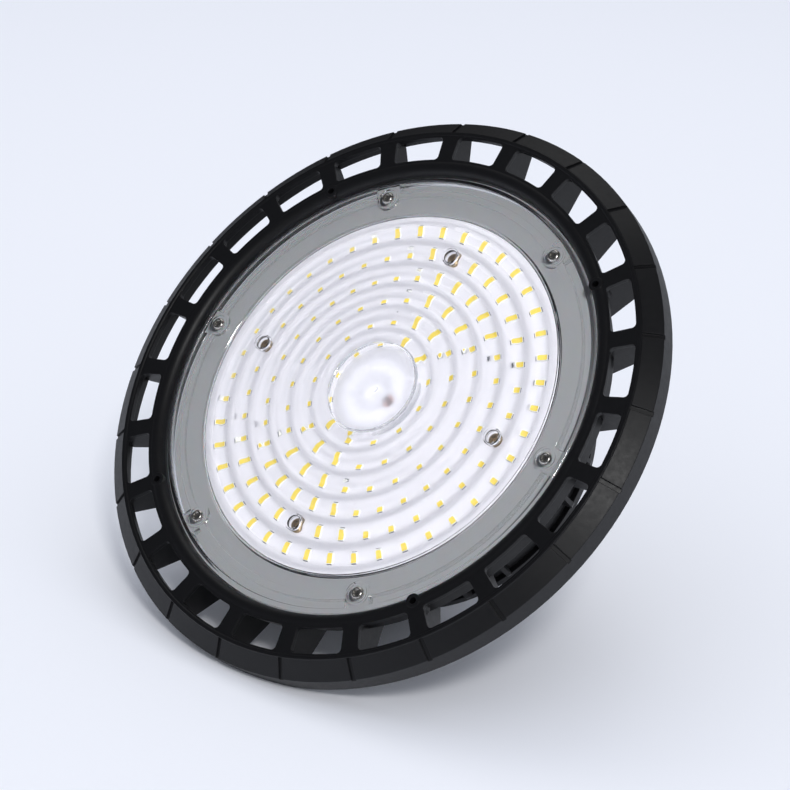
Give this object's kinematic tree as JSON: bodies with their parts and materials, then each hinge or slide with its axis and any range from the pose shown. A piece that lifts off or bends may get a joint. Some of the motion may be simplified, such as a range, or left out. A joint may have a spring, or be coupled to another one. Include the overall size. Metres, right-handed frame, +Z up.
{
  "type": "high bay light",
  "caption": "Round high bay light: black die-cast heat sink with slotted front ring and radial fins, clear beaded lens over an LED board, driver compartment, eye bolt and cable gland.",
  "frame": {"origin": "on the light's axis, in the plane of the four reflector bosses, the light's lowest point as it hangs", "axes": "+Z up through the driver compartment and the eye bolt, the lens faces -Z; +X through a fin, towards the breather plug"},
  "size_m": [0.259, 0.259, 0.1292],
  "materials": {
    "black_casting": "satin black powder coat",
    "clear_lens": "clear moulded polycarbonate",
    "white_silicone": "matte",
    "stainless": "turned stainless steel",
    "board_white": "white solder mask",
    "led": "yellow phosphor in a white body",
    "pad_grey": "matte",
    "black_rubber": "matte",
    "lead_insulation": "matte",
    "insulator": "matte",
    "circuit_green": "solder mask",
    "nylon": "matte",
    "ferrite": "matte",
    "copper_winding": "enamelled copper wire",
    "capacitor_sleeve": "shrunk sleeve",
    "plain_aluminium": "mill finish",
    "terminal_green": "matte",
    "zinc_steel": "bright zinc plate",
    "black_nylon": "matte"
  },
  "bodies": {
    "root": {"heat_sink": "black_casting", "cooling_fins": "black_casting", "lens": "clear_lens", "lens_gasket": "white_silicone", "lens_screws": "stainless", "led_board": "board_white", "leds_ring_1": "led", "leds_ring_2": "led", "leds_ring_3": "led", "leds_ring_4": "led", "leds_ring_5": "led", "leds_ring_6": "led", "thermal_pad": "pad_grey", "board_screws": "zinc_steel", "lead_grommet": "black_rubber", "dc_leads": "lead_insulation", "driver_insulator": "insulator", "driver_posts": "nylon", "driver_board": "circuit_green", "driver_screws": "zinc_steel", "driver_transformer": "ferrite", "driver_choke": "copper_winding", "driver_capacitors": "capacitor_sleeve", "driver_transistors": "plain_aluminium", "driver_terminal_block": "terminal_green", "rear_cover": "black_casting", "cover_gasket": "black_rubber", "cover_screws": "stainless", "hanging_eye": "zinc_steel", "eye_nut": "zinc_steel", "gland_body": "black_nylon", "gland_seal": "black_rubber", "gland_nut": "black_nylon", "gland_lock_nut": "black_nylon", "breather_seal": "black_rubber", "breather_plug": "black_nylon"}
  },
  "joints": []
}
